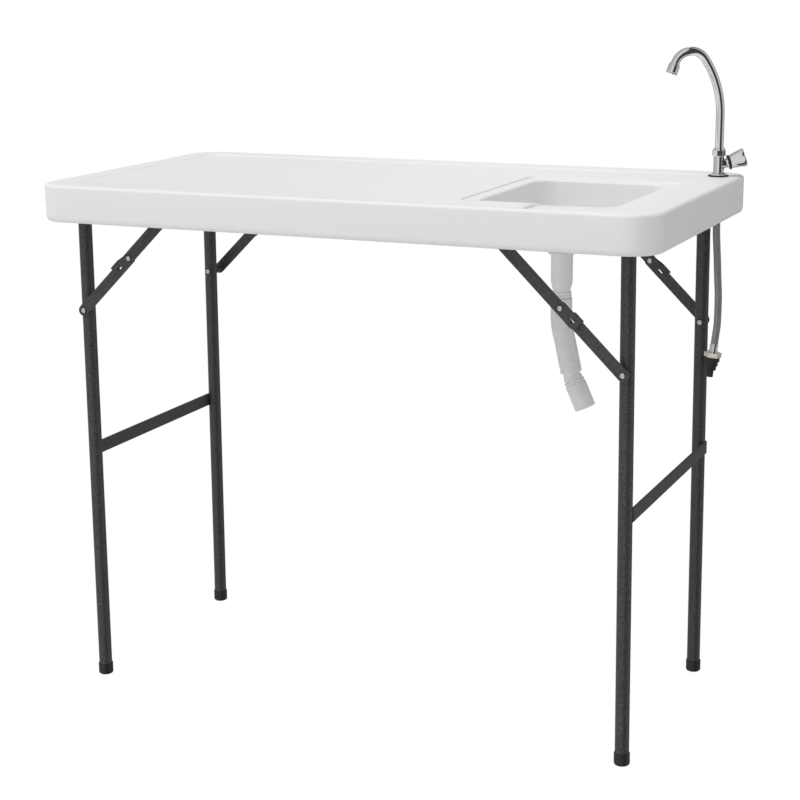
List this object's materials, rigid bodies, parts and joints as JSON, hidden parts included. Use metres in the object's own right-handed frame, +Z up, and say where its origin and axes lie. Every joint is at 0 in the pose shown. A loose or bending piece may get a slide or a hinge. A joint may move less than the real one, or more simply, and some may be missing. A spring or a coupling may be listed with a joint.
{
  "type": "folding fish cleaning table",
  "caption": "Folding fish cleaning table: white moulded top with a sink, swivelling faucet, drain hose and inlet hose, on two tube leg frames with folding braces.",
  "frame": {"origin": "on the floor, below the middle of the worktop", "axes": "+X to the right, towards the sink end; +Y to the back, away from the person at the sink; +Z up"},
  "size_m": [1.1402, 0.59, 1.1594],
  "materials": {
    "top_plastic": "white moulded polyethylene with a fine grain",
    "hammered_paint": "dark grey hammered powder coat",
    "bar_paint": "smooth dark grey paint",
    "rail_paint": "smooth dark grey paint",
    "zinc_steel": "bright zinc plate",
    "spacer_plastic": "black moulded sleeve",
    "black_plastic": "black moulded plastic",
    "black_rubber": "black rubber",
    "drain_steel": "satin steel",
    "drain_plastic": "pale grey moulded plastic",
    "hose_plastic": "pale grey ribbed plastic",
    "faucet_chrome": "polished chrome plate",
    "nickel": "pale nickel plate",
    "steel_braid": "woven stainless wire over a tube"
  },
  "bodies": {
    "tabletop": {"worktop": "top_plastic", "front_rail": "rail_paint", "back_rail": "rail_paint", "rail_screws": "zinc_steel", "left_pivot_rod": "zinc_steel", "left_pivot_caps": "black_plastic", "left_link_pins": "zinc_steel", "right_pivot_rod": "zinc_steel", "right_pivot_caps": "black_plastic", "right_link_pins": "zinc_steel", "drain_flange": "drain_steel", "drain_gasket": "black_rubber", "drain_nut": "drain_plastic", "drain_cuff": "drain_plastic", "drain_hose": "hose_plastic", "outlet_cuff": "drain_plastic", "faucet_gasket": "black_rubber", "faucet_body": "faucet_chrome", "faucet_washer": "black_rubber", "faucet_nut": "zinc_steel", "collar_nut": "faucet_chrome", "valve_bonnet": "faucet_chrome", "valve_ring": "black_plastic", "hose_top_nut": "nickel", "supply_hose": "steel_braid", "hose_ferrules": "zinc_steel", "coupling_nut": "nickel", "hose_connector": "black_plastic"},
    "left_leg_frame": {"left_front_leg": "hammered_paint", "left_back_leg": "hammered_paint", "left_crossbar": "bar_paint", "left_pivot_spacers": "spacer_plastic", "left_front_foot": "black_plastic", "left_back_foot": "black_plastic", "left_brace_bolts": "zinc_steel", "left_brace_spacers": "spacer_plastic"},
    "left_upper_links": {"left_front_upper_link": "hammered_paint", "left_back_upper_link": "hammered_paint", "left_middle_rivets": "zinc_steel"},
    "left_lower_links": {"left_front_lower_link": "hammered_paint", "left_back_lower_link": "hammered_paint", "left_rivet_tails": "zinc_steel"},
    "right_leg_frame": {"right_front_leg": "hammered_paint", "right_back_leg": "hammered_paint", "right_crossbar": "bar_paint", "right_pivot_spacers": "spacer_plastic", "right_front_foot": "black_plastic", "right_back_foot": "black_plastic", "right_brace_bolts": "zinc_steel", "right_brace_spacers": "spacer_plastic"},
    "right_upper_links": {"right_front_upper_link": "hammered_paint", "right_back_upper_link": "hammered_paint", "right_middle_rivets": "zinc_steel"},
    "right_lower_links": {"right_front_lower_link": "hammered_paint", "right_back_lower_link": "hammered_paint", "right_rivet_tails": "zinc_steel"},
    "spout": {"spout": "faucet_chrome", "aerator": "faucet_chrome"},
    "valve_knob": {"valve_knob": "faucet_chrome"}
  },
  "joints": [
    {"name": "left_fold", "type": "hinge", "parent": "tabletop", "child": "left_leg_frame", "pos_m": [-0.506, 0, 0.90948], "axis": [0, -1, 0], "range_deg": [0, 90.4]},
    {"name": "left_upper_link_turn", "type": "hinge", "parent": "tabletop", "child": "left_upper_links", "pos_m": [-0.298, 0, 0.90948], "axis": [0, 1, 0], "range_deg": [0, 44.39]},
    {"name": "left_lower_link_turn", "type": "hinge", "parent": "left_leg_frame", "child": "left_lower_links", "pos_m": [-0.50743, 0, 0.70449], "axis": [0, -1, 0], "range_deg": [0, 45.21]},
    {"name": "right_fold", "type": "hinge", "parent": "tabletop", "child": "right_leg_frame", "pos_m": [0.501, 0, 0.87748], "axis": [0, 1, 0], "range_deg": [0, 90.4]},
    {"name": "right_upper_link_turn", "type": "hinge", "parent": "tabletop", "child": "right_upper_links", "pos_m": [0.293, 0, 0.87748], "axis": [0, -1, 0], "range_deg": [0, 44.39]},
    {"name": "right_lower_link_turn", "type": "hinge", "parent": "right_leg_frame", "child": "right_lower_links", "pos_m": [0.50243, 0, 0.67249], "axis": [0, 1, 0], "range_deg": [0, 45.21]},
    {"name": "spout_swivel", "type": "hinge", "parent": "tabletop", "child": "spout", "pos_m": [0.525, 0.222, 0.985], "axis": [0, 0, 1], "continuous": true},
    {"name": "valve_turn", "type": "hinge", "parent": "tabletop", "child": "valve_knob", "pos_m": [0.55114, 0.23419, 0.96227], "axis": [0.8712, 0.4062, 0.2756], "range_deg": [0, 90]}
  ],
  "couplings": [
    {"joint": "left_upper_link_turn", "follows": "left_fold", "ratio": 0.491},
    {"joint": "left_lower_link_turn", "follows": "left_fold", "ratio": 0.5001},
    {"joint": "right_upper_link_turn", "follows": "right_fold", "ratio": 0.491},
    {"joint": "right_lower_link_turn", "follows": "right_fold", "ratio": 0.5001}
  ]
}
